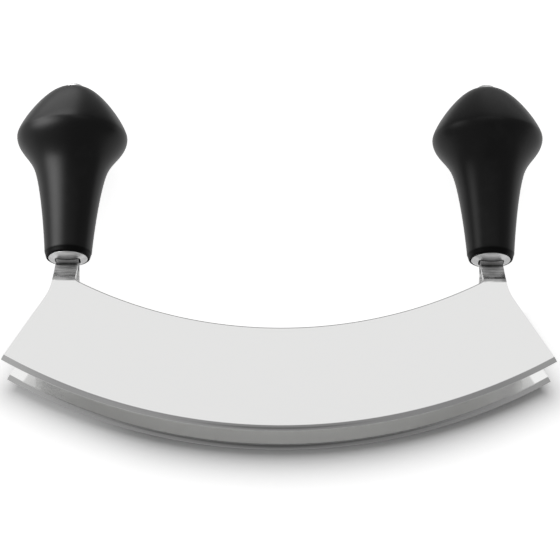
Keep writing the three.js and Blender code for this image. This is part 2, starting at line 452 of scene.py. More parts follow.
@dataclass(frozen=True)
class BladeMarks:
    """Where each finish of a blade and each of its painted highlights, reflections and shades begins and is
    complete, in mm, and how strong it is.

    Attributes:
        inside: the inner face, from the middle of the sheet.
        bevel: the ground bevel, from the rim.
        painted_edge_glint: painted highlight along the outer cutting edge, from that edge.
        painted_dark_line: painted shade, a dark line above the inner bevel in place of a dark reflection,
            from the rim.
        painted_line_fade: where that line fades and is full, from the rim.
        painted_line_least: share of it that is left where it has faded.
        painted_line_ends: where that line ends and is full, from the blade's middle.
        painted_dim_band: painted shade, a dimmer run-up on the inner face to its lighter ends, from the
            blade's middle.
        painted_dim_share: strength of that painted shade.
        buffed_painted_ends: the ends of the inner face, smoother from the buff and with a painted reflection
            that lightens them, from the blade's middle.
        painted_bright_share: how much lighter that painted reflection makes them.
        tip: the ends of the bevel, painted paler as a painted reflection, from the blade's middle.
        painted_pale_share: how much paler that painted reflection makes them.
        tang: the bent tang, from its first bend.
        unbuffed_painted_shade: the tang's end that the buff misses, rougher and painted darker as shade
            under the ferrule, from the height that the buff reaches.
        die_wander: how far the die marks shift that end's border.
        die_light: levels between which the die marks turn light.
        polish: grain of the polish, scaled along the blade by polish_stretch.
        grind: grain of the bevel's grinding, scaled across it by grind_stretch.
        die: grain of the die marks, scaled across the tang by die_stretch.
        scuff_shine: roughness that scuffs add.
    """

    inside: Pair = (0.3, -0.3)
    bevel: Pair = (-0.1, 0.1)
    painted_edge_glint: Pair = (-0.22, -0.12)
    painted_dark_line: Pair = (0.3, 0.6)
    painted_line_fade: Pair = (1.2, 0.7)
    painted_line_least: float = 0.45
    painted_line_ends: Pair = (90.0, 40.0)
    painted_dim_band: Pair = (84.0, 91.0)
    painted_dim_share: float = 0.38
    buffed_painted_ends: Pair = (93.4, 94.4)
    painted_bright_share: float = 0.4
    tip: Pair = (80.0, 105.0)
    painted_pale_share: float = 0.8
    tang: Pair = (0.0, 0.8)
    unbuffed_painted_shade: Pair = (0.0, 0.9)
    die_wander: float = 2.0
    die_light: Pair = (0.35, 0.65)
    polish: Grain = Grain(5.0, 3.0)
    polish_stretch: float = 0.02
    grind: Grain = Grain(4.5, 2.0)
    grind_stretch: float = 0.08
    die: Grain = Grain(0.9, 2.0)
    die_stretch: float = 0.2
    scuff_shine: float = 0.04


FACE_STEEL = SteelFinish(
    "polished_sheet", colour=(0.825, 0.825, 0.82, 1), shade=(0.8, 0.8, 0.797, 1),
    roughness=0.05, spread=0.05, mark_depth=0.0004,
)
INNER_STEEL = SteelFinish(
    "satin_inside", colour=(0.884, 0.884, 0.879, 1), shade=(0.854, 0.854, 0.851, 1),
    roughness=0.18, spread=0.05, mark_depth=0.001,
)
BENT_STEEL = SteelFinish(
    "bent_tang", colour=(0.95, 0.95, 0.945, 1), shade=(0.56, 0.56, 0.56, 1),
    roughness=0.17, spread=0.12, mark_depth=0.03,
)
# painted shade: darker colours for the tangs' ends under the ferrules, the inner face's dim band and the
# line above the inner bevel
PAINTED_SHADE_STEEL = SteelFinish(
    "painted_shade_steel", colour=(0.5, 0.5, 0.5, 1), shade=(0.22, 0.22, 0.22, 1),
    roughness=0.28, spread=0.1, mark_depth=0.02,
)
GROUND_STEEL = SteelFinish(
    "ground_bevel", colour=(0.7, 0.7, 0.7, 1), shade=(0.62, 0.62, 0.62, 1),
    roughness=0.1, spread=0.1, mark_depth=0.008,
)
# its colour and shade are the light and dark of the painted reflection and of the rings
TURNED_STEEL = TurnedFinish(
    "turned_steel", colour=(0.98, 0.98, 0.98, 1), shade=(0.55, 0.55, 0.553, 1),
    roughness=0.26, spread=0.1, mark_depth=0.01,
)
DRAWN_STEEL = DrawnFinish(
    "drawn_steel", colour=(0.42, 0.425, 0.43, 1), shade=(0.3, 0.3, 0.31, 1),
    roughness=0.34, spread=0.2, mark_depth=0.02,
)
GRIP_PLASTIC = PlasticFinish(
    "satin_black", colour=(0.003, 0.003, 0.0031, 1), scuffed=(0.007, 0.007, 0.0072, 1),
    roughness=0.3, spread=0.08, texture_depth=0.008,
)


class Finishes:
    """The materials, each made once."""

    def __init__(self, effects: Effects, blade: "Blade", grip: "Grip") -> None:
        """Makes the materials.

        Args:
            effects: the shared shader groups.
            blade: sizes that the sheet's marks follow.
            grip: sizes that the turned marks follow.
        """
        self.effects = effects
        steels = (FACE_STEEL, INNER_STEEL, GROUND_STEEL, BENT_STEEL, PAINTED_SHADE_STEEL)
        self.blade = self._blade(steels, BladeMarks(), blade)
        self.turned = self._turned(TURNED_STEEL, grip)
        self.drawn = self._drawn(DRAWN_STEEL)
        self.grip = self._plastic(GRIP_PLASTIC, grip)

    def _start(self, name: str) -> tuple[bpy.types.Material, Graph, Socket, Socket, Socket]:
        """Starts a material.

        Args:
            name: the material's name.

        Returns:
            The material, its graph, the standing place, and the smears and scuffs there.
        """
        material = bpy.data.materials.new(name)
        material.use_nodes = True
        graph = Graph(material.node_tree)
        place = graph.use(self.effects.place)[0]
        smears, scuffs = graph.use(self.effects.handling, {"Place": place})
        return material, graph, place, smears, scuffs

    @staticmethod
    def _shine(graph: Graph, marks: Socket, steel: SteelFinish) -> Socket:
        """Roughness that follows a finish's marks."""
        return graph.math("MULTIPLY_ADD", marks, steel.spread, steel.roughness)

    @staticmethod
    def _colour(graph: Graph, marks: Socket, steel: SteelFinish) -> Socket:
        """Colour that follows a finish's marks."""
        return graph.tint(marks, steel.shade, steel.colour)

    @staticmethod
    def _close(graph: Graph, inputs: Mapping, height: Socket, depth: float) -> None:
        """Adds the shader and the output.

        Args:
            graph: the material's graph.
            inputs: the shader's inputs.
            height: socket of the surface's relief, from 0 to 1.
            depth: depth of that relief in mm.
        """
        relief = {"Height": height, "Distance": depth * MILLIMETRE, "Strength": 1.0}
        bump = graph.add("ShaderNodeBump", relief)
        shader = graph.add("ShaderNodeBsdfPrincipled", {**inputs, "Normal": bump.outputs[0]})
        graph.add("ShaderNodeOutputMaterial", {0: shader.outputs[0]})

    def _blade(
        self, steels: tuple[SteelFinish, ...], marks: BladeMarks, blade: "Blade"
    ) -> bpy.types.Material:
        """Polished sheet, satin inside, with a ground bevel, a painted glint along the cutting edge, die
        marks on its tangs, and painted reflections and shade.

        Args:
            steels: finishes of the outer face, the inner face, the bevel and the tangs, and the painted
                shade of the tangs' ends, the inner face's dim band and its dark line.
            marks: where each finish and each painted highlight, reflection or shade begins and ends.
            blade: sizes of the sheet.

        Returns:
            The material.
        """
        # the last finish, scale, holds the colours of the painted shade
        face, inner, ground, bent, scale = steels
        material, graph, place, smears, scuffs = self._start(face.name)
        sheet = {"Place": place, "Centre Height": blade.edge_radius}
        along, radius = graph.use(self.effects.sheet, sheet)
        x, depth, height = graph.split(place)
        polish = graph.noise(graph.join(graph.product(along, marks.polish_stretch), radius), marks.polish)
        grind = graph.noise(graph.join(along, graph.product(radius, marks.grind_stretch)), marks.grind)
        die = graph.noise(graph.join(graph.product(x, marks.die_stretch), 0.0, height), marks.die)

        off_middle = graph.math("ABSOLUTE", x)
        inside = graph.ramp(graph.math("ABSOLUTE", depth), *marks.inside, base=blade.offset)
        outside = graph.math("SUBTRACT", 1.0, inside)
        bevel = graph.ramp(radius, *marks.bevel, base=blade.rim_radius)
        # painted highlight: a light line along the outer cutting edge
        painted_edge_glint = graph.product(graph.ramp(radius, *marks.painted_edge_glint, base=blade.edge_radius), outside)
        # painted shade: a dark line above the inner bevel, standing in for a dark reflection
        painted_dark_line = graph.product(
            inside,
            graph.ramp(off_middle, *marks.painted_line_ends),
            graph.ramp(radius, *marks.painted_dark_line, base=blade.rim_radius),
            graph.mix(graph.ramp(radius, *marks.painted_line_fade, base=blade.rim_radius), marks.painted_line_least, 1.0),
        )
        buffed_painted_ends = graph.ramp(off_middle, *marks.buffed_painted_ends)
        # painted shade: the inner face dimmer just short of its ends
        painted_dim_band = graph.math("SUBTRACT", graph.ramp(off_middle, *marks.painted_dim_band), buffed_painted_ends)
        # painted reflection: the bevel paler towards the blade's ends
        tip = graph.ramp(off_middle, *marks.tip)
        tang = graph.ramp(height, *marks.tang, base=blade.bend_start)
        # painted shade: the tangs darker where they go into the ferrules, on rougher steel
        border = graph.math("MULTIPLY_ADD", die, marks.die_wander, height)
        unbuffed_painted_shade = graph.ramp(border, *marks.unbuffed_painted_shade, base=blade.unbuffed_shade_from)

        shine = graph.math("MULTIPLY_ADD", scuffs, marks.scuff_shine, self._shine(graph, smears, face))
        satin = graph.mix(buffed_painted_ends, inner.roughness, face.roughness)
        shine = graph.mix(inside, shine, graph.math("MULTIPLY_ADD", polish, inner.spread, satin))
        for zone, grain, steel in ((bevel, grind, ground), (tang, die, bent), (unbuffed_painted_shade, die, scale)):
            shine = graph.mix(zone, shine, self._shine(graph, grain, steel))

        # satin inner face, with painted shade and a painted reflection in its colour
        satin_painted_colour = self._colour(graph, polish, inner)
        satin_painted_colour = graph.tint(graph.product(painted_dim_band, marks.painted_dim_share), satin_painted_colour, scale.colour)
        # painted reflection: the inner face's ends lighter in colour
        satin_painted_colour = graph.tint(graph.product(buffed_painted_ends, marks.painted_bright_share), satin_painted_colour, bent.colour)
        ground_painted_colour = self._colour(graph, grind, ground)
        # painted reflection: the bevel's ends paler
        ground_painted_colour = graph.tint(graph.product(tip, marks.painted_pale_share), ground_painted_colour, bent.colour)
        colour = self._colour(graph, polish, face)
        # layers of the colour, among them painted shade, a painted highlight and painted reflections
        for zone, layer in (
            (inside, satin_painted_colour),
            (bevel, ground_painted_colour),
            (painted_dark_line, scale.shade),
            (painted_edge_glint, bent.colour),
            (tang, self._colour(graph, graph.ramp(die, *marks.die_light), bent)),
            (unbuffed_painted_shade, self._colour(graph, die, scale)),
        ):
            colour = graph.tint(zone, colour, layer)

        flat_share, inner_share, ground_share = (
            steel.mark_depth / bent.mark_depth for steel in (face, inner, ground)
        )
        flat_relief = graph.product(polish, graph.mix(inside, flat_share, inner_share))
        relief = graph.mix(bevel, flat_relief, graph.product(grind, ground_share))
        inputs = {"Base Color": colour, "Metallic": 1.0, "Roughness": shine}
        self._close(graph, inputs, graph.mix(tang, relief, die), bent.mark_depth)
        return material

    def _turned(self, steel: TurnedFinish, grip: "Grip") -> bpy.types.Material:
        """Steel with the fine rings of a lathe, and a painted reflection that lightens its colour where it
        faces front or rear.

        Args:
            steel: the finish.
            grip: sizes that place the rings.

        Returns:
            The material.
        """
        material, graph, place, smears, scuffs = self._start(steel.name)
        axis = {"Place": place, "Axis Offset": grip.axis_offset}
        sheen, rings = graph.use(self.effects.lathe, axis)
        handled = graph.math("MAXIMUM", smears, scuffs)
        shine = graph.math("MULTIPLY_ADD", handled, steel.smear, self._shine(graph, rings, steel))
        # painted reflection: the colour lightens with the sheen value and the rings
        painted_sheen_and_rings = graph.product(graph.ramp(sheen, *steel.sheen), graph.mix(rings, steel.ring_least, 1.0))
        colour = self._colour(graph, painted_sheen_and_rings, steel)
        inputs = {"Base Color": colour, "Metallic": 1.0, "Roughness": shine}
        self._close(graph, inputs, rings, steel.mark_depth)
        return material

    def _drawn(self, steel: DrawnFinish) -> bpy.types.Material:
        """Plain steel with the long marks of a drawing die.

        Args:
            steel: the finish.

        Returns:
            The material.
        """
        material, graph, place, smears, _ = self._start(steel.name)
        streaks = graph.add("ShaderNodeMapping", {"Vector": place, "Scale": steel.stretch}).outputs[0]
        lines = graph.noise(streaks, steel.lines)
        colour = self._colour(graph, graph.product(lines, smears), steel)
        inputs = {"Base Color": colour, "Metallic": 1.0, "Roughness": self._shine(graph, lines, steel)}
        self._close(graph, inputs, lines, steel.mark_depth)
        return material

    def _plastic(self, plastic: PlasticFinish, grip: "Grip") -> bpy.types.Material:
        """Moulded plastic with a fine spark texture, a few scuffs and a dull foot.

        Args:
            plastic: the finish.
            grip: sizes that place the foot.

        Returns:
            The material.
        """
        material, graph, place, smears, scuffs = self._start(plastic.name)
        spark = graph.noise(place, plastic.spark)
        flow = graph.noise(place, plastic.flow)
        worn = graph.math("MAXIMUM", scuffs, graph.ramp(flow, *plastic.worn))
        spark_spread = plastic.spread * plastic.spark_share
        shine = graph.math("MULTIPLY_ADD", spark, spark_spread, plastic.roughness)
        _, _, height = graph.split(place)
        barrel = graph.ramp(height, *plastic.foot_top, base=grip.base)
        inputs = {
            "Base Color": graph.tint(worn, plastic.colour, plastic.scuffed),
            "Roughness": graph.math("MULTIPLY_ADD", smears, plastic.spread, shine),
            "IOR": plastic.refraction,
            "Specular IOR Level": graph.mix(barrel, plastic.foot_gloss, plastic.gloss),
        }
        self._close(graph, inputs, spark, plastic.texture_depth)
        return material


def add_piece(
    bm: bmesh.types.BMesh, name: str, material: bpy.types.Material, crease: float
) -> bpy.types.Object:
    """Turns a finished mesh into a shown piece that rides on the tool.

    Args:
        bm: the mesh in row metres, which is freed.
        name: the piece's name.
        material: its finish.
        crease: angle in degrees above which an edge is shaded sharp.

    Returns:
        The new object.
    """
    bmesh.ops.recalc_face_normals(bm, faces=bm.faces)
    mesh = bpy.data.meshes.new(name)
    bm.to_mesh(mesh)
    bm.free()
    mesh.shade_smooth()
    mesh.set_sharp_from_angle(angle=math.radians(crease))
    mesh.materials.append(material)
    piece = bpy.data.objects.new(name, mesh)
    bpy.context.scene.collection.objects.link(piece)
    weighted = piece.modifiers.new("flat_faces", "WEIGHTED_NORMAL")
    weighted.weight = FLAT_FACE_WEIGHT
    weighted.keep_sharp = True
    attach(piece, BODY)
    LOG.info("%s: %d faces", name, len(mesh.polygons))
    return piece


class Tracer:
    """Draws a chain of edges in a blade's plane, a line or an arc at a time."""

    def __init__(self, bm: bmesh.types.BMesh, start: Vector) -> None:
        """Places the first point."""
        self.bm = bm
        self.first = self.end = bm.verts.new(start)

    def line_to(self, point: Vector) -> None:
        """Draws a straight edge.

        Args:
            point: where it ends.
        """
        made = bmesh.ops.extrude_vert_indiv(self.bm, verts=[self.end])
        self.end = made["verts"][0]
        self.end.co = point

    def arc_to(self, point: Vector, centre: Vector, steps: int) -> None:
        """Draws an arc.

        Args:
            point: where it ends.
            centre: its centre.
            steps: how many edges it has.
        """
        start, stop = self.end.co - centre, point - centre
        angle = math.atan2(start.cross(stop).dot(Y_AXIS), start.dot(stop))
        made = bmesh.ops.spin(
            self.bm, geom=[self.end], cent=centre, axis=Y_AXIS, angle=angle, steps=steps, use_duplicate=False
        )
        self.end = next(v for v in made["geom_last"] if isinstance(v, bmesh.types.BMVert))

    def close(self) -> None:
        """Draws a straight edge back to the first point, and fills the outline."""
        self.bm.edges.new((self.end, self.first))
        bmesh.ops.contextual_create(self.bm, geom=self.bm.edges[:])


@dataclass(frozen=True)
class Blade:
    """One stamped blade with a ground cutting edge and two bent tangs. Sizes are in mm.

    Attributes:
        offset: distance of the sheet's middle from the tool's middle plane.
        tang_offset: the same for the tangs, past their double bend.
        bevel_crown: power of the bevel's crown, where 1 is flat.
        edge_land: thickness that is left at the cutting edge.
        edge_worn: height that wear has taken off that edge.
        rim_tolerance: how far a face of the rim may lie off its radius.
        rim_facing: how far a face of the rim may face out of the sheet, where 1 is fully.
        joggle_rise: height of the double bend, between its outer ends.
        unbuffed_shade_from: height that the buff reaches on the tangs, where the painted shade under the
            ferrules begins.
        sheared_corner: the least angle of a sheared edge.
        sheared_from_rim: how far rounded edges keep off the bevel.
        sheared_from_side: how far they keep off the tangs' outer sides.
    """

    span: float = 210.0
    height: float = 41.0
    edge_radius: float = 211.6
    back_radius: float = 168.2
    end_slant: float = math.radians(32)
    thickness: float = 1.5
    bevel_height: float = 2.15
    bevel_crown: float = 1.6
    bevel_steps: int = 8
    edge_land: float = 0.12
    edge_worn: float = 0.01
    rim_tolerance: float = 0.001
    rim_facing: float = 0.5
    offset: float = 11.75
    tang_offset: float = 2.05
    tang_inner: float = 77.7
    tang_outer: float = 86.5
    end_fillet: float = 20.0
    root_fillet: float = 2.0
    fillet_steps: int = 12
    bend_radius: float = 3.2
    bend_start: float = 59.22
    joggle_rise: float = 12.5
    unbuffed_shade_from: float = 69.8
    tang_top: float = 88.52
    rivet_radius: float = 1.8
    rivet_heights: Pair = (78.02, 84.02)
    rivet_steps: int = 24
    sheared_corner: float = math.radians(60)
    sheared_from_rim: float = 0.5
    sheared_from_side: float = 0.1
    edge_round: float = 0.6
    round_steps: int = 4
    arc_steps: int = 96
    bend_steps: int = 10

    @property
    def rim_radius(self) -> float:
        """Radius of the line between the flat face and the bevel."""
        return self.edge_radius - self.bevel_height

    @property
    def lean(self) -> float:
        """Angle that each bend of the tang turns through."""
        shift = self.offset - self.tang_offset
        across = shift - 2 * self.bend_radius
        return math.atan2(across, self.joggle_rise) + math.asin(
            2 * self.bend_radius / math.hypot(across, self.joggle_rise)
        )

    @property
    def straight(self) -> float:
        """Length of the flat between the two bends."""
        return (self.joggle_rise - 2 * self.bend_radius * math.sin(self.lean)) / math.cos(self.lean)

    @property
    def stretch(self) -> float:
        """How much longer the double bend is than it is high."""
        return 2 * self.bend_radius * self.lean + self.straight - self.joggle_rise

    def _flat(self, x: float, z: float) -> Vector:
        """A point on the blade's outer face, from its place along the blade and its height."""
        return Vector((x, -self.offset - self.thickness / 2, z))

    def _from_centre(self, vert: bmesh.types.BMVert) -> float:
        """Distance of a point of the flat blank from the cutting edge's centre, in the blade's plane."""
        return math.hypot(vert.co.x, vert.co.z - self.edge_radius)

    def _trace(self, bm: bmesh.types.BMesh) -> None:
        """Draws and fills the right half of the flat blank's outer face.

        Args:
            bm: the mesh to draw in.
        """
        edge_centre = self._flat(0, self.edge_radius)
        back_centre = self._flat(0, self.height + self.back_radius)
        half = self.span / 2
        tip = self._flat(half, self.edge_radius - math.sqrt(self.edge_radius**2 - half**2))
        along = Vector((-math.sin(self.end_slant), 0, math.cos(self.end_slant)))
        outward = Vector((along.z, 0, -along.x))
        inset = -(tip - edge_centre).dot(along)
        corner = tip + along * (inset - math.sqrt(inset**2 - self.edge_radius**2 + self.rim_radius**2))

        fillet_x = self.tang_outer + self.end_fillet
        fillet_z = tip.z + (self.end_fillet - (fillet_x - tip.x) * outward.x) / outward.z
        fillet_centre = self._flat(fillet_x, fillet_z)
        root_x = self.tang_inner - self.root_fillet
        root_reach = self.back_radius - self.root_fillet
        root_centre = self._flat(root_x, back_centre.z - math.sqrt(root_reach**2 - root_x**2))
        root_end = back_centre + (root_centre - back_centre) * (self.back_radius / root_reach)

        outline = Tracer(bm, self._flat(0, self.bevel_height))
        outline.arc_to(corner, edge_centre, self.arc_steps)
        outline.line_to(fillet_centre - outward * self.end_fillet)
        outline.arc_to(self._flat(self.tang_outer, fillet_z), fillet_centre, self.fillet_steps)
        outline.line_to(self._flat(self.tang_outer, self.tang_top + self.stretch))
        outline.line_to(self._flat(self.tang_inner, self.tang_top + self.stretch))
        outline.line_to(self._flat(self.tang_inner, root_centre.z))
        outline.arc_to(root_end, root_centre, self.fillet_steps)
        outline.arc_to(self._flat(0, self.height), back_centre, self.arc_steps)
        outline.close()

    def _bends(self) -> list[Pair]:
        """The double bend as small turns of the outer face.

        Returns:
            Height on the flat blank and angle of each turn, from the lowest up.
        """
        turns = []
        low = self.bend_start
        for radius, sign in (
            (self.bend_radius + self.thickness / 2, -1),
            (self.bend_radius - self.thickness / 2, 1),
        ):
            length = radius * self.lean
            for step in range(self.bend_steps + 1):
                share = 0.5 if step in (0, self.bend_steps) else 1.0
                angle = sign * share * self.lean / self.bend_steps
                turns.append((low + length * step / self.bend_steps, angle))
            low += length + self.straight
        return turns

    @staticmethod
    def _score(bm: bmesh.types.BMesh, height: float) -> None:
        """Cuts every face of the flat blank across at one height."""
        geometry = [*bm.verts, *bm.edges, *bm.faces]
        bmesh.ops.bisect_plane(bm, geom=geometry, dist=TOUCH, plane_co=(0, 0, height), plane_no=Z_AXIS)

    def _pierce(self, bm: bmesh.types.BMesh) -> None:
        """Cuts the rivet holes in the tang's flat end.

        Args:
            bm: the right half of the flat blank's outer face.
        """
        low = self._bends()[-1][0]
        self._score(bm, low)
        end = [f for f in bm.faces if f.calc_center_median().z > low + TOUCH]
        rim = {e for f in end for e in f.edges}
        bmesh.ops.delete(bm, geom=end, context="FACES_ONLY")
        middle = (self.tang_inner + self.tang_outer) / 2
        upright = Matrix.Rotation(math.pi / 2, 4, "X")
        for height in self.rivet_heights:
            place = Matrix.Translation(self._flat(middle, height + self.stretch)) @ upright
            made = bmesh.ops.create_circle(
                bm, segments=self.rivet_steps, radius=self.rivet_radius, matrix=place
            )
            rim |= {e for v in made["verts"] for e in v.link_edges}
        bmesh.ops.triangle_fill(bm, use_beauty=True, edges=list(rim), normal=-Y_AXIS)

    def _bend(self, bm: bmesh.types.BMesh) -> None:
        """Scores the tangs across at each turn, then folds them there round their outer face.

        Args:
            bm: the flat blank.
        """
        turns = self._bends()
        for height, _ in turns:
            self._score(bm, height)
        blank = bm.verts.layers.float_vector.new("blank")
        for vert in bm.verts:
            vert[blank] = vert.co
        for height, angle in turns:
            scored = (v for v in bm.verts if abs(v[blank].z - height) < TOUCH)
            pivot = min(scored, key=lambda v: v[blank].y)
            above = [v for v in bm.verts if v[blank].z > height + TOUCH]
            bmesh.ops.rotate(bm, cent=pivot.co.copy(), matrix=Matrix.Rotation(angle, 3, "X"), verts=above)

    def _grind(self, bm: bmesh.types.BMesh) -> None:
        """Draws the rim out to the cutting edge in a slightly crowned bevel.

        Args:
            bm: the sheet at its full thickness.
        """
        centre = Vector((0, -self.offset, self.edge_radius))
        rim = [
            f for f in bm.faces
            if all(abs(self._from_centre(v) - self.rim_radius) < self.rim_tolerance for v in f.verts)
            and abs(f.normal.y) < self.rim_facing
        ]
        radius, width = self.rim_radius, self.thickness
        for step in range(1, self.bevel_steps + 1):
            share = step / self.bevel_steps
            reach = self.rim_radius + (self.bevel_height - self.edge_worn) * share
            left = self.edge_land + (self.thickness - self.edge_land) * (1 - share**self.bevel_crown)
            made = bmesh.ops.extrude_face_region(bm, geom=rim)
            drawn = [v for v in made["geom"] if isinstance(v, bmesh.types.BMVert)]
            grow = (reach / radius, left / width, reach / radius)
            bmesh.ops.scale(bm, vec=grow, space=Matrix.Translation(-centre), verts=drawn)
            bmesh.ops.delete(bm, geom=[f for f in rim if f.is_valid], context="FACES_ONLY")
            rim = [f for f in made["geom"] if isinstance(f, bmesh.types.BMFace)]
            radius, width = reach, left

    def _soften(self, bm: bmesh.types.BMesh) -> None:
        """Rounds the sheared edges of the blade's back and of the tangs' inner sides.

        Args:
            bm: the ground sheet, still flat.
        """
        bmesh.ops.recalc_face_normals(bm, faces=bm.faces)
        rim = self.rim_radius - self.sheared_from_rim
        side = self.tang_outer - self.sheared_from_side
        sheared = [
            e for e in bm.edges
            if e.calc_face_angle(0) > self.sheared_corner
            and all(self._from_centre(v) < rim and abs(v.co.x) < side for v in e.verts)
        ]
        bmesh.ops.bevel(
            bm, geom=sheared, offset=self.edge_round, affect="EDGES", segments=self.round_steps,
            profile=ROUND_PROFILE, material=-1, clamp_overlap=False,
        )

    def build(self, side: BladeSide, pose: LyingPose, finishes: Finishes) -> bpy.types.Object:
        """Makes one blade.

        Args:
            side: which blade.
            pose: how the tool lies.
            finishes: the materials.

        Returns:
            The blade's piece.
        """
        bm = bmesh.new()
        self._trace(bm)
        self._pierce(bm)
        bmesh.ops.mirror(bm, geom=[*bm.verts, *bm.edges, *bm.faces], axis="X", merge_dist=TOUCH)
        bmesh.ops.remove_doubles(bm, verts=bm.verts, dist=TOUCH)
        bmesh.ops.recalc_face_normals(bm, faces=bm.faces)
        if max(bm.faces, key=lambda f: f.calc_area()).normal.y > 0:
            bmesh.ops.reverse_faces(bm, faces=bm.faces)
        bmesh.ops.solidify(bm, geom=bm.faces[:], thickness=self.thickness)
        self._grind(bm)
        self._soften(bm)
        self._bend(bm)
        turn = Matrix.Rotation(side.value, 4, "Z")
        bmesh.ops.transform(bm, matrix=pose.matrix @ turn, verts=bm.verts)
        node = f"{side.name.lower()}_blade"
        piece = add_piece(bm, f"{node}_polished", finishes.blade, STEEL_CREASE)
        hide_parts(node)
        return piece


@dataclass(frozen=True)
class Grip:
    """One pear-shaped grip with its slotted ferrule and its cap nut.

    Sizes are in mm and corners in degrees. Pairs are radius and height, and an arm is the way
    from a point of the outline to the control point of its curve on that side.
    """

    axis_offset: float = 82.1
    base: float = 73.52
    foot_radius: float = 9.198
    foot_rounding: float = 2.4
    foot_steps: int = 8
    base_arm: Pair = (0.85, 0.0)
    foot_arm_below: Pair = (-0.6, -1.2)
    foot_arm_above: Pair = (0.58, 8.75)
    recess_radius: float = 7.998
    recess_depth: float = 5.3
    pocket_radius: float = 5.9
    pocket_depth: float = 16.0
    bore_radius: float = 2.8
    neck: Pair = (14.2, 36.75)
    neck_arm_below: Pair = (-2.55, -7.55)
    neck_arm_above: Pair = (2.23, 6.6)
    bulge: Pair = (21.776, 51.1)
    bulge_arm_below: Pair = (0.0, -4.95)
    bulge_arm_above: Pair = (0.0, 3.5)
    crown: Pair = (4.6, 72.0)
    crown_arm: Pair = (6.6, -0.6)
    crown_seat: float = 65.8
    lip_round: float = 0.35
    lip_corner: float = 50
    ferrule_radius: float = 7.698
    ferrule_wall: float = 1.0
    ferrule_skirt: float = 5.0
    ferrule_dome: float = 1.8
    ferrule_shoulder: float = 4.8
    ferrule_rings: int = 12
    ferrule_round: float = 0.18
    ferrule_corner: float = 40
    slot_half_width: float = 4.9
    slot_half_depth: float = 3.3
    slot_squareness: float = 6.0
    cap_radius: float = 4.0
    cap_bottom: float = 67.4
    cap_length: float = 7.0
    cap_dome: float = 1.5
    cap_shoulder: float = 3.1
    cap_bore_depth: float = 5.2
    cap_steps: int = 14
    cap_round: float = 0.15
    cap_corner: float = 55
    turn_steps: int = 128
    curve_steps: int = 22
    round_steps: int = 3

    @staticmethod
    def _control(point: Pair, arm: Pair) -> Pair:
        """The control point at the end of an arm."""
        return point[0] + arm[0], point[1] + arm[1]

    @staticmethod
    def _profile(pairs: Iterable[Pair]) -> list[Vector]:
        """Points in the turning plane, from radius and height."""
        return [Vector((radius, 0, height)) for radius, height in pairs]

    @staticmethod
    def _curve(start: Pair, first: Pair, second: Pair, end: Pair, steps: int) -> list[Vector]:
        """The points of a cubic curve, without the first, from its ends and its control points."""
        return interpolate_bezier(*Grip._profile((start, first, second, end)), steps + 1)[1:]

    @staticmethod
    def _bow(start: Pair, corner: Pair, end: Pair, steps: int) -> list[Vector]:
        """A quadratic curve in the turning plane.

        Args:
            start: radius and height where it begins.
            corner: where its end tangents meet.
            end: where it ends.
            steps: how many edges it has.

        Returns:
            Its points, without the first.
        """
        first = tuple(a + (b - a) * 2 / 3 for a, b in zip(start, corner))
        second = tuple(a + (b - a) * 2 / 3 for a, b in zip(end, corner))
        return Grip._curve(start, first, second, end, steps)

    def _turn(self, points: Iterable[Vector], closed: bool) -> bmesh.types.BMesh:
        """Spins an outline round the grip's axis.

        Args:
            points: the outline's points.
            closed: whether its end joins its start.

        Returns:
            The turned mesh, at the origin.
        """
        bm = bmesh.new()
        verts = [bm.verts.new(p) for p in points]
        pairs = list(zip(verts, verts[1:]))
        if closed:
            pairs.append((verts[-1], verts[0]))
        edges = [bm.edges.new(pair) for pair in pairs]
        bmesh.ops.spin(
            bm, geom=[*verts, *edges], cent=(0, 0, 0), axis=Z_AXIS, angle=math.tau, steps=self.turn_steps,
            use_merge=True, use_duplicate=False,
        )
        bmesh.ops.remove_doubles(bm, verts=bm.verts, dist=TOUCH)
        bmesh.ops.recalc_face_normals(bm, faces=bm.faces)
        return bm

    def _soften(self, bm: bmesh.types.BMesh, width: float, angle: float) -> None:
        """Rounds the rings where a turned mesh has a corner.

        Args:
            bm: the turned mesh.
            width: width of the rounding.
            angle: the smallest corner that is rounded, in degrees.
        """
        least = math.radians(angle)
        corners = [e for e in bm.edges if e.is_manifold and e.calc_face_angle(0) > least]
        bmesh.ops.bevel(
            bm, geom=corners, offset=width, affect="EDGES", segments=self.round_steps,
            profile=ROUND_PROFILE, material=-1, clamp_overlap=True,
        )

    def _handle(self) -> bmesh.types.BMesh:
        """The black grip, open for the ferrule, the tangs, the rod and the cap.

        Returns:
            The mesh, at the origin.
        """
        foot = (self.foot_radius, self.foot_rounding)
        start = (self.recess_radius, 0.0)
        outline = self._profile([start])
        for arm, end, end_arm, steps in (
            (self.base_arm, foot, self.foot_arm_below, self.foot_steps),
            (self.foot_arm_above, self.neck, self.neck_arm_below, self.curve_steps),
            (self.neck_arm_above, self.bulge, self.bulge_arm_below, self.curve_steps),
            (self.bulge_arm_above, self.crown, self.crown_arm, self.curve_steps),
        ):
            first, second = self._control(start, arm), self._control(end, end_arm)
            outline += self._curve(start, first, second, end, steps)
            start = end
        inside = (
            (self.crown[0], self.crown_seat),
            (self.bore_radius, self.crown_seat),
            (self.bore_radius, self.pocket_depth),
            (self.pocket_radius, self.pocket_depth),
            (self.pocket_radius, self.recess_depth),
            (self.recess_radius, self.recess_depth),
        )
        bm = self._turn([*outline, *self._profile(inside)], closed=True)
        self._soften(bm, self.lip_round, self.lip_corner)
        return bm

    def _ferrule_height(self, radius: float) -> float:
        """Height of the ferrule's dome.

        Args:
            radius: distance from the axis.

        Returns:
            Height above the grip's base, which is negative.
        """
        bend = self.ferrule_radius - 2 * self.ferrule_shoulder
        share = (math.sqrt(self.ferrule_shoulder**2 + bend * radius) - self.ferrule_shoulder) / bend
        return self.ferrule_dome * (share**2 - 1)

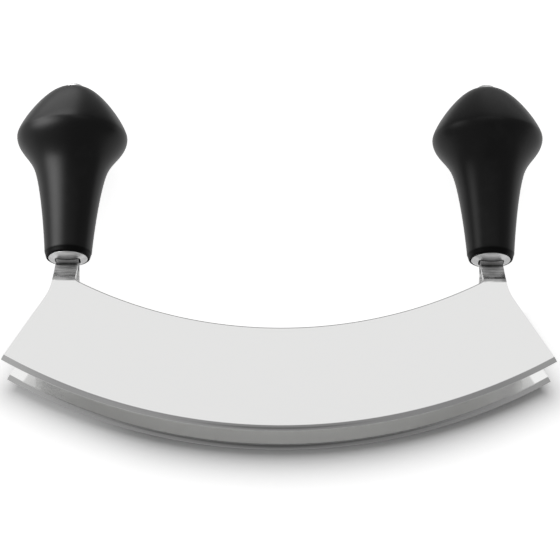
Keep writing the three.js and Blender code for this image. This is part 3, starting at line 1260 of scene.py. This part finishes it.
    def _ferrule(self) -> bmesh.types.BMesh:
        """The domed ferrule with its slot for both tangs.

        Returns:
            The mesh, at the origin.
        """
        bm = bmesh.new()
        rim = bmesh.ops.create_circle(bm, segments=self.turn_steps, radius=self.ferrule_radius)["verts"]
        mouth = bmesh.ops.create_circle(bm, segments=self.turn_steps, radius=1.0)["verts"]
        for vert in mouth:
            across = (abs(vert.co.x) / self.slot_half_width) ** self.slot_squareness
            deep = (abs(vert.co.y) / self.slot_half_depth) ** self.slot_squareness
            vert.co *= (across + deep) ** (-1 / self.slot_squareness)
        loops = bm.edges[:]
        bridge = bmesh.ops.bridge_loops(bm, edges=loops)["faces"]
        spokes = [e for f in bridge for e in f.edges if e not in loops]
        bmesh.ops.subdivide_edges(bm, edges=list(set(spokes)), cuts=self.ferrule_rings, use_grid_fill=True)
        for vert in bm.verts:
            vert.co.z = self._ferrule_height(math.hypot(vert.co.x, vert.co.y))
        outer = [e for e in bm.edges if all(v in rim for v in e.verts)]
        made = bmesh.ops.extrude_edge_only(bm, edges=outer)
        skirt = [v for v in made["geom"] if isinstance(v, bmesh.types.BMVert)]
        bmesh.ops.translate(bm, vec=(0, 0, self.ferrule_skirt), verts=skirt)
        bmesh.ops.recalc_face_normals(bm, faces=bm.faces)
        if max(bm.faces, key=lambda f: abs(f.normal.z)).normal.z > 0:
            bmesh.ops.reverse_faces(bm, faces=bm.faces)
        bmesh.ops.solidify(bm, geom=bm.faces[:], thickness=self.ferrule_wall)
        bmesh.ops.recalc_face_normals(bm, faces=bm.faces)
        self._soften(bm, self.ferrule_round, self.ferrule_corner)
        return bm

    def _cap(self) -> bmesh.types.BMesh:
        """The domed cap nut on the grip's crown.

        Returns:
            The mesh, at the origin.
        """
        low, high = self.cap_bottom, self.cap_bottom + self.cap_length
        bore_top = low + self.cap_bore_depth
        shoulder = (self.cap_radius, high - self.cap_dome)
        below = (
            (0.0, bore_top),
            (self.bore_radius, bore_top),
            (self.bore_radius, low),
            (self.cap_radius, low),
            shoulder,
        )
        dome = self._bow(shoulder, (self.cap_shoulder, high), (0.0, high), self.cap_steps)
        bm = self._turn([*self._profile(below), *dome], closed=False)
        self._soften(bm, self.cap_round, self.cap_corner)
        return bm

    def build(self, side: GripSide, pose: LyingPose, finishes: Finishes) -> list[bpy.types.Object]:
        """Makes one grip with its ferrule and cap nut.

        Args:
            side: which grip.
            pose: how the tool lies.
            finishes: the materials.

        Returns:
            The three pieces.
        """
        place = pose.matrix @ Matrix.Translation((side.value * self.axis_offset, 0, self.base))
        parts = (
            (self._handle(), "grip", "moulded", finishes.grip, "grip_plastic", PLASTIC_CREASE),
            (self._ferrule(), "ferrule", "turned", finishes.turned, "ferrule_steel", STEEL_CREASE),
            (self._cap(), "cap_nut", "turned", finishes.turned, "cap_steel", STEEL_CREASE),
        )
        pieces = []
        for bm, part, made, material, slot, crease in parts:
            bmesh.ops.transform(bm, matrix=place, verts=bm.verts)
            node = f"{side.name.lower()}_{part}"
            piece = add_piece(bm, f"{node}_{made}", material, crease)
            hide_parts(node)
            pieces.append(piece)
        return pieces


@dataclass(frozen=True)
class HiddenFittings:
    """The rods, washers and rivets inside the grips, whose CAD shapes are kept."""

    parts: tuple[str, ...] = ("draw_rod", "washer", "lower_rivet", "upper_rivet")

    def dress(self, finishes: Finishes) -> None:
        """Gives the kept CAD nodes their finish.

        Args:
            finishes: the materials.
        """
        for side in GripSide:
            for part in self.parts:
                mesh = frame["nodes"][f"{side.name.lower()}_{part}"].data
                mesh.materials.clear()
                mesh.materials.append(finishes.drawn)


@dataclass(frozen=True)
class Softbox:
    """A rectangular studio light that faces a point.

    Attributes:
        name: the light's name.
        place: its middle, in metres.
        aim: the point that it faces.
        size: its width and height.
        radiance: its brightness in the middle, where 1 is white.
        feather: share of its half width and half height over which it fades out.
        beam: full angle of its beam, in degrees.
        lit: the grip that it lights, in its gloss alone.
    """

    name: str
    place: Point
    aim: Point
    size: Pair
    radiance: float
    feather: Pair
    beam: float
    lit: GripSide

    @property
    def beam_gain(self) -> float:
        """How much brighter the beam's angle makes the light on its axis."""
        half = math.radians(self.beam) / 2
        return 1.0 if self.beam >= OPEN_BEAM else math.tan(half) / (math.tan(half) - half)

    def build(self, receivers: bpy.types.Collection) -> bpy.types.Object:
        """Makes the light.

        Args:
            receivers: the pieces that it lights.

        Returns:
            The light's object.
        """
        light = bpy.data.lights.new(self.name, "AREA")
        light.shape = "RECTANGLE"
        light.size, light.size_y = self.size
        light.energy = self.radiance / self.beam_gain * math.pi * self.size[0] * self.size[1]
        light.spread = math.radians(self.beam)
        light.use_nodes = True
        graph = Graph(light.node_tree)
        across, up, _ = graph.split(graph.add("ShaderNodeNewGeometry").outputs["Parametric"])
        middle = 0.5
        glow = [
            graph.ramp(
                graph.math("ABSOLUTE", graph.math("SUBTRACT", part, middle)), middle, middle - middle * fade
            )
            for part, fade in zip((across, up), self.feather)
        ]
        shine = graph.add("ShaderNodeEmission", {"Strength": graph.product(*glow)})
        graph.add("ShaderNodeOutputLight", {0: shine.outputs[0]})
        lamp = bpy.data.objects.new(self.name, light)
        lamp.location = self.place
        lamp.rotation_euler = (Vector(self.aim) - Vector(self.place)).to_track_quat("-Z", "Y").to_euler()
        lamp.visible_camera = False
        lamp.visible_diffuse = False
        lamp.light_linking.receiver_collection = receivers
        bpy.context.scene.collection.objects.link(lamp)
        return lamp


@dataclass(frozen=True)
class Studio:
    """The white table, the soft light and the camera. Lengths are in metres.

    Attributes:
        table_drop: how far the table lies under the tool, so that no faces coincide.
        table_glow: the table's own light, as the camera sees it.
        table_mirrored: share of that light that mirror rays see in front of the tool.
        mirrored_between: that share under the grips, full past the places of between_from.
        mirrored_behind: that share behind the tool, full past the places of behind_from.
        shadow_centre: place of the centre of the cutting edges' shadow.
        shadow_reach: length of that shadow along the edge, from its middle.
        shadow_fade: length over which it fades out.
        shadow_left: its depth on the left, full past the places of shadow_left_from.
        shadow_inner: where it ends behind the edge, from the edge.
        room_dim: brightness of the room where the camera stands.
        room_left: brightness on the left, full past the levels of room_left_from.
        lens_dark: brightness of the camera itself, within the two cosines of lens_cone.
        room_light: brightness of the pale ceiling, past the levels of ceiling_edge and ceiling_height.
    """

    camera_place: Point = (0.0, -0.418657, 0.883061)
    camera_aim: Point = (0.0, -0.008579, 0.017222)
    camera_roll: float = 0.0041
    camera_range: Pair = (0.05, 50.0)
    focal_pixels: float = 2475.0
    picture: float = 560.0
    sensor: float = 36.0
    shift: float = 0.00124
    bounces: int = 24
    glossy_bounces: int = 16
    table_size: float = 8.0
    table_cells: int = 8
    table_drop: float = 0.0001
    table_colour: Colour = (0.7, 0.7, 0.7, 1)
    table_fleck: Grain = Grain(60.0, 2.0)
    fleck_lift: float = 0.01
    table_glow: float = 0.85
    table_mirrored: float = 0.35
    mirrored_between: float = 0.7
    between_from: Pair = (-0.06, -0.02)
    mirrored_behind: float = 0.05
    behind_from: Pair = (0.09, 0.13)
    shadow_centre: float = 0.1377
    shadow_radius: float = 0.2116
    shadow_reach: float = 0.106
    shadow_depth: float = 1.0
    shadow_left: float = 0.82
    shadow_left_from: Pair = (-0.045, -0.085)
    shadow_fade: float = 0.0077
    shadow_inner: Pair = (-0.02, -0.035)
    room_light: float = 0.955
    room_dim: float = 0.34
    room_left: float = 0.44
    room_left_from: Pair = (0.0, -0.3)
    lens_dark: float = 0.15
    lens_cone: Pair = (0.988, 0.998)
    ceiling_edge: Pair = (0.12, 0.2)
    ceiling_height: Pair = (0.78, 0.86)
    softboxes: tuple[Softbox, ...] = (
        Softbox(
            "left_side", place=(-0.24, 0.06, 0.085), aim=(-0.13, 0.06, 0.005), size=(0.2, 0.56),
            radiance=9.0, feather=(0.35, 0.6), beam=70, lit=GripSide.LEFT,
        ),
        Softbox(
            "left_back", place=(-0.24, 0.16, 0.105), aim=(-0.24, 0.05, 0.105), size=(0.358, 0.21),
            radiance=1.3, feather=(0.11, 0.1), beam=OPEN_BEAM, lit=GripSide.LEFT,
        ),
        Softbox(
            "left_high", place=(-0.24, 0.159, 0.14), aim=(-0.24, 0.05, 0.14), size=(0.358, 0.15),
            radiance=2.4, feather=(0.11, 0.6), beam=OPEN_BEAM, lit=GripSide.LEFT,
        ),
        Softbox(
            "right_side", place=(-0.24, 0.07, 0.085), aim=(-0.13, 0.03, 0.005), size=(0.22, 0.4),
            radiance=5.0, feather=(0.5, 0.7), beam=58, lit=GripSide.RIGHT,
        ),
        Softbox(
            "right_back", place=(0.16, 0.16, 0.105), aim=(0.16, 0.05, 0.105), size=(0.2, 0.21),
            radiance=0.3, feather=(0.2, 0.1), beam=OPEN_BEAM, lit=GripSide.RIGHT,
        ),
    )

    def build(self, grips: Mapping[GripSide, Iterable[bpy.types.Object]]) -> None:
        """Makes the table, the lights, the room and the camera.

        Args:
            grips: the pieces of each grip, which the softboxes light.
        """
        self._table()
        self._room()
        receivers = {side: bpy.data.collections.new(f"{side.name.lower()}_lit") for side in grips}
        for side, pieces in grips.items():
            for piece in pieces:
                receivers[side].objects.link(piece)
        for softbox in self.softboxes:
            softbox.build(receivers[softbox.lit])
        self._camera()
        scene = bpy.context.scene
        scene.view_settings.view_transform = "Standard"
        scene.cycles.max_bounces = self.bounces
        scene.cycles.glossy_bounces = self.glossy_bounces

    def _table(self) -> None:
        """Makes the white table."""
        bm = bmesh.new()
        cells = self.table_cells
        bmesh.ops.create_grid(bm, x_segments=cells, y_segments=cells, size=self.table_size / 2)
        bmesh.ops.translate(bm, vec=(0, 0, -self.table_drop), verts=bm.verts)
        mesh = bpy.data.meshes.new("table")
        bm.to_mesh(mesh)
        bm.free()
        mesh.materials.append(self._table_finish())
        table = bpy.data.objects.new("table", mesh)
        bpy.context.scene.collection.objects.link(table)

    def _table_finish(self) -> bpy.types.Material:
        """White board that stays white in the picture and dimmer in mirrors.

        Returns:
            The material.
        """
        material = bpy.data.materials.new("white_table")
        material.use_nodes = True
        graph = Graph(material.node_tree)
        place = graph.add("ShaderNodeTexCoord").outputs["Object"]
        x, y, _ = graph.split(place)
        path = graph.add("ShaderNodeLightPath").outputs
        mirrored = graph.math("MAXIMUM", path["Is Glossy Ray"], path["Is Transmission Ray"])
        level = graph.mix(graph.ramp(y, *self.between_from), self.table_mirrored, self.mirrored_between)
        level = graph.mix(graph.ramp(y, *self.behind_from), level, self.mirrored_behind)
        seen = graph.math("MAXIMUM", path["Is Camera Ray"], graph.product(mirrored, level))
        glow = graph.product(self._lit(graph, x, y), self.table_glow)
        fleck = graph.noise(place, self.table_fleck)
        paler = tuple(min(1.0, part + self.fleck_lift) for part in self.table_colour)
        board = graph.add("ShaderNodeBsdfDiffuse", {0: graph.tint(fleck, self.table_colour, paler)})
        lamp = graph.add("ShaderNodeEmission", {"Strength": graph.product(seen, glow)})
        both = graph.add("ShaderNodeAddShader", {0: board.outputs[0], 1: lamp.outputs[0]})
        graph.add("ShaderNodeOutputMaterial", {0: both.outputs[0]})
        return material

    def _lit(self, graph: Graph, x: Socket, y: Socket) -> Socket:
        """How much of the table's light the soft shadow along the cutting edges leaves.

        Args:
            graph: the table's graph.
            x: place along the blades.
            y: place across them.

        Returns:
            The share's socket, 1 away from the shadow.
        """
        drop = graph.math("SUBTRACT", self.shadow_centre, y)
        radius = graph.length(x, drop)
        along = graph.product(graph.math("ABSOLUTE", graph.math("ARCTAN2", x, drop)), self.shadow_radius)
        past = graph.length(
            graph.math("MAXIMUM", graph.math("SUBTRACT", radius, self.shadow_radius), 0.0),
            graph.math("MAXIMUM", graph.math("SUBTRACT", along, self.shadow_reach), 0.0),
        )
        shade = graph.math("EXPONENT", graph.math("DIVIDE", past, -self.shadow_fade))
        depth = graph.mix(graph.ramp(x, *self.shadow_left_from), -self.shadow_depth, -self.shadow_left)
        outside = graph.math("MULTIPLY_ADD", shade, depth, 1.0)
        inner = graph.ramp(radius, *self.shadow_inner, base=self.shadow_radius)
        return graph.math("MAXIMUM", outside, inner)

    def _room(self) -> None:
        """Makes a room with a pale ceiling behind the tool, and dim where the camera stands."""
        world = bpy.data.worlds.new("studio")
        world.use_nodes = True
        graph = Graph(world.node_tree)
        direction = graph.add("ShaderNodeTexCoord").outputs["Generated"]
        side, back, up = graph.split(direction)
        lens = (Vector(self.camera_place) - Vector(self.camera_aim)).normalized()
        facing = graph.add("ShaderNodeVectorMath", {0: direction, 1: lens}, operation="DOT_PRODUCT")
        dim = graph.mix(graph.ramp(side, *self.room_left_from), self.room_dim, self.room_left)
        dim = graph.mix(graph.ramp(facing.outputs["Value"], *self.lens_cone), dim, self.lens_dark)
        ceiling = graph.product(graph.ramp(back, *self.ceiling_edge), graph.ramp(up, *self.ceiling_height))
        level = graph.mix(ceiling, dim, self.room_light)
        seen = graph.add("ShaderNodeLightPath").outputs["Is Camera Ray"]
        backdrop = graph.add("ShaderNodeBackground", {0: (1, 1, 1, 1), 1: graph.mix(seen, level, 1.0)})
        graph.add("ShaderNodeOutputWorld", {0: backdrop.outputs[0]})
        bpy.context.scene.world = world

    def _camera(self) -> None:
        """Makes the camera at the photograph's viewpoint."""
        camera = bpy.data.cameras.new("camera")
        camera.sensor_width = self.sensor
        camera.lens = self.focal_pixels / self.picture * self.sensor
        camera.shift_x = self.shift
        camera.clip_start, camera.clip_end = self.camera_range
        eye = bpy.data.objects.new("camera", camera)
        eye.location = self.camera_place
        look = (Vector(self.camera_aim) - Vector(self.camera_place)).to_track_quat("-Z", "Y")
        eye.rotation_euler = (look.to_matrix() @ Matrix.Rotation(self.camera_roll, 3, "Z")).to_euler()
        bpy.context.scene.collection.objects.link(eye)
        bpy.context.scene.camera = eye


def main() -> None:
    logging.basicConfig(level=logging.INFO, format="%(name)s: %(message)s")
    pose, blade, grip = LyingPose(), Blade(), Grip()
    finishes = Finishes(Effects(pose), blade, grip)
    for side in BladeSide:
        blade.build(side, pose, finishes)
    grips = {side: grip.build(side, pose, finishes) for side in GripSide}
    HiddenFittings().dress(finishes)
    Studio().build(grips)


if __name__ == "__main__":
    main()
